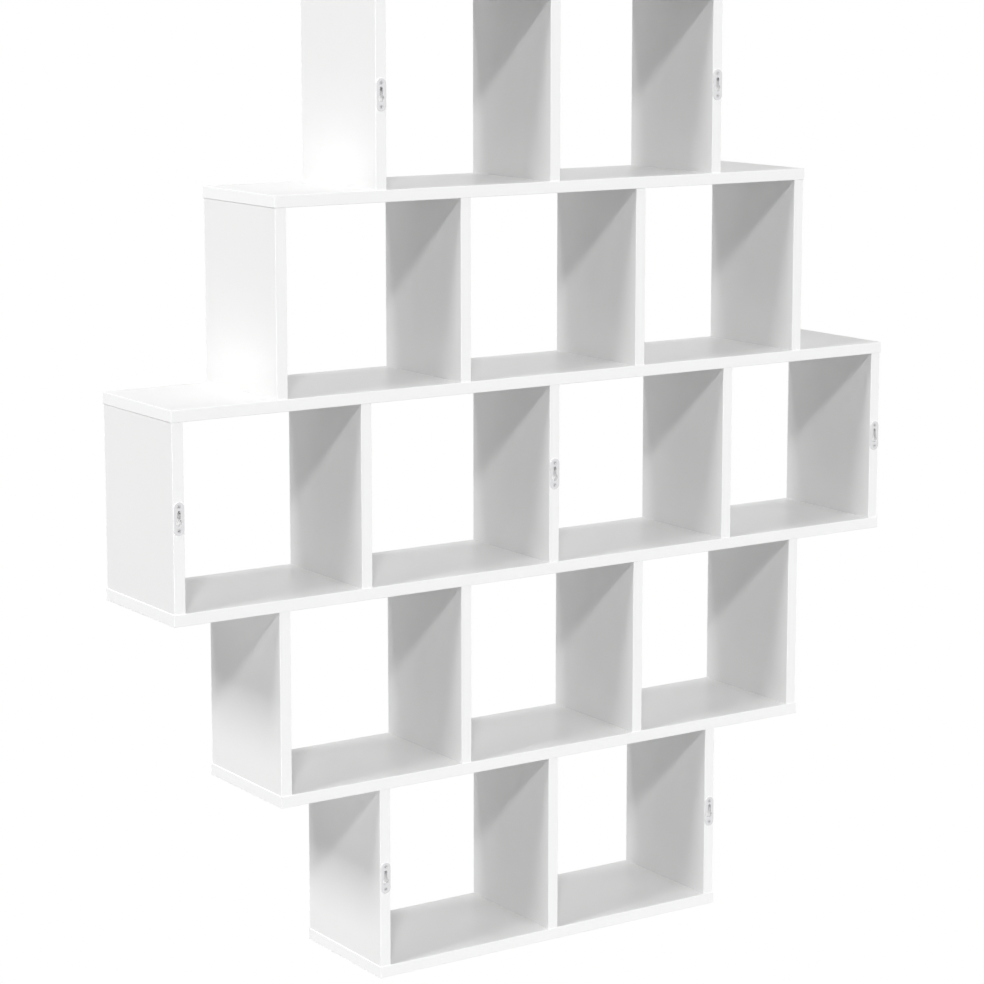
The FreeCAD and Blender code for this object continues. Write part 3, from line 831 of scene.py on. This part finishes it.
def fluted_dowel(radius, length):
    """A rod whose radius dips by a narrow cosine at each flute, with chamfered and closed ends."""
    angles = ring_angles(DOWEL_AROUND)
    flute = FLUTE_DEPTH * (0.5 - 0.5 * np.cos(FLUTES * angles)) ** 2
    full = radius - flute
    narrow = np.full_like(angles, radius - DOWEL_CHAMFER)
    none = np.zeros_like(angles)
    radii = np.stack([none, narrow, full, full, narrow, none])
    depths = [0.0, 0.0, DOWEL_CHAMFER, length - DOWEL_CHAMFER, length, length]
    return spun(radii, depths, angles)


for row in ROW_NUMBERS:
    x, y, foot, head, radius = paired_places(row, f"row_{row}_dowels")
    shifts = np.stack([x, y, np.full_like(x, foot)], axis=1)
    rod = skin(fluted_dowel(radius, head - foot))
    new_piece(f"row_{row}_pegs", copies(rod, shifts), dowel_beech, f"row_{row}_dowels")

# %% [markdown]
# ## Floor and backdrop
# The picture's background is plain white. A white backdrop lit by lamps would need lamps of its own, so
# the world itself is white to the camera and to reflections, and a milder white as light. A round pale
# floor lies far below, as under a shelf that hangs on a wall. It throws some light up and catches a soft
# shadow, and towards its rim it turns to the same white as the world.

# %% White world
DOME_LEVEL = 0.215
WHITE = (1.0, 1.0, 1.0, 1.0)


def seen_directly(tree):
    """1 for rays of the camera, of reflections and through glass, and 0 for rays that only light things."""
    path = tree.nodes.new("ShaderNodeLightPath")
    seen = path.outputs["Is Camera Ray"]
    for kind in ("Is Glossy Ray", "Is Transmission Ray"):
        inputs = {0: seen, 1: path.outputs[kind]}
        seen = add_node(tree, "ShaderNodeMath", inputs, "MAXIMUM").outputs["Value"]
    return seen


def white_world():
    """Strength one where it is seen, and the dome's level where it only lights."""
    world = bpy.data.worlds.new("studio")
    world.use_nodes = True
    tree = world.node_tree
    inputs = {"Value": seen_directly(tree), "To Min": DOME_LEVEL, "To Max": 1.0}
    level = add_node(tree, "ShaderNodeMapRange", inputs).outputs["Result"]
    fill(tree, tree.nodes["Background"], {"Color": WHITE, "Strength": level})
    return world


bpy.context.scene.world = white_world()
print(f"world seen at 1 and lighting at {DOME_LEVEL}")

# %% Pale floor
FLOOR_DROP = 1.4
FLOOR_RADIUS = 2.4
FLOOR_AROUND = 72
FLOOR_RINGS = 9
FLOOR_PAINT = (0.75, 0.75, 0.75, 1.0)
SHADOW_VEIL = (0.5, 0.5, 0.5, 1.0)
SHADOW_RADIUS = 2.2
SHADOW_CORE = 0.5 * SHADOW_RADIUS
CORE_GLOW = 0.6
FLATTEN = (1.0, 1.0, 0.0)


def pale_floor_finish():
    """Pale paint to rays that only light things. To rays that see it, a grey veil that takes the shadow,
    plus a glow, which grows from the shadow's core to full strength at its radius."""
    finish = bpy.data.materials.new("pale_floor")
    finish.use_nodes = True
    tree = finish.node_tree
    tree.nodes.clear()
    paint = add_node(tree, "ShaderNodeBsdfDiffuse", {"Color": FLOOR_PAINT})
    veil = add_node(tree, "ShaderNodeBsdfDiffuse", {"Color": SHADOW_VEIL})
    place = tree.nodes.new("ShaderNodeTexCoord").outputs["Object"]
    away = add_node(tree, "ShaderNodeVectorMath", {0: stretched(tree, place, FLATTEN)}, "LENGTH")
    strength = add_node(tree, "ShaderNodeMapRange", {
        "Value": away.outputs["Value"], "From Min": SHADOW_CORE, "From Max": SHADOW_RADIUS,
        "To Min": CORE_GLOW, "To Max": 1.0,
    })
    glow = add_node(tree, "ShaderNodeEmission", {"Strength": strength.outputs["Result"]})
    lit = add_node(tree, "ShaderNodeAddShader", {0: veil.outputs[0], 1: glow.outputs[0]})
    parts = {0: seen_directly(tree), 1: paint.outputs[0], 2: lit.outputs[0]}
    mixed = add_node(tree, "ShaderNodeMixShader", parts)
    add_node(tree, "ShaderNodeOutputMaterial", {"Surface": mixed.outputs[0]})
    return finish


def round_floor(height, centre_y):
    """A flat disc: rings of growing radius about one point."""
    angles = ring_angles(FLOOR_AROUND)
    radii = np.linspace(0, FLOOR_RADIUS, FLOOR_RINGS)[:, None]
    x, y = radii * np.cos(angles), centre_y + radii * np.sin(angles)
    corners, faces = skin(np.stack([x, y, np.full_like(x, height)], axis=-1))
    mesh = bpy.data.meshes.new("floor")
    mesh.from_pydata(corners.tolist(), [], faces.tolist())
    mesh.materials.append(pale_floor_finish())
    floor = bpy.data.objects.new("floor", mesh)
    bpy.context.scene.collection.objects.link(floor)


shelf_middle = (cad_low + cad_high) / 2
round_floor(cad_low.z - FLOOR_DROP, shelf_middle.y)
print(f"floor {FLOOR_DROP:.1f} m below the shelf")

# %% [markdown]
# ## Lamps
# A lamp of P watts that stands D metres away lights a white sheet that faces it with P over pi squared
# times D squared. Powers could be tried out one by one, but each lamp is written with its direction, its
# size and the level it gives such a sheet, and its power follows. All stand far off, because in the
# picture the top row is as bright as the bottom one. A small key over the camera draws the slanting
# shadow in each cell, a broad window high on the left lights the end faces and shades them softly under
# the longer boards, and soft lamps fill from low on the left, the wall side, the front and the right.
# The lamp on the wall side is left out of reflections, because the satin faces would mirror it and burn
# out when they are seen flat from the front.

# %% Set the lamps
LAMP_DISTANCE = 18.0
# Degrees round from the wall side, degrees up, width and height in metres, and level.
LAMPS = {
    "key": (36, 35, 1.6, 1.6, 0.28),
    "left_window": (88, 44, 5.4, 5.4, 0.58),
    "left_floor_fill": (95, -8, 8.0, 4.0, 0.13),
    "wall_side_fill": (-15, 6, 13.0, 12.0, 0.573),
    "front_fill": (180, 8, 11.2, 11.2, 0.32),
    "right_fill": (-110, 8, 11.2, 11.2, 0.28),
}
UNMIRRORED = {"wall_side_fill"}


def add_lamp(name, around, up, width, height, level):
    """A lamp aimed at the shelf's middle, its place from angles around from the wall side and up, and its
    power from level, pi and distance."""
    data = bpy.data.lights.new(name, "AREA")
    data.shape = "RECTANGLE"
    data.size = width
    data.size_y = height
    data.energy = level * (math.pi * LAMP_DISTANCE) ** 2
    lamp = bpy.data.objects.new(name, data)
    turn, rise = math.radians(around), math.radians(up)
    flat = math.cos(rise)
    towards = Vector((flat * math.sin(turn), flat * math.cos(turn), math.sin(rise)))
    lamp.location = shelf_middle + LAMP_DISTANCE * towards
    lamp.rotation_euler = towards.to_track_quat("Z", "Y").to_euler()
    lamp.visible_camera = False
    lamp.visible_glossy = name not in UNMIRRORED
    bpy.context.scene.collection.objects.link(lamp)
    print(f"{name}: {data.energy:.0f} W from {around} degrees round and {up} up")


for lamp_name, settings in LAMPS.items():
    add_lamp(lamp_name, *settings)
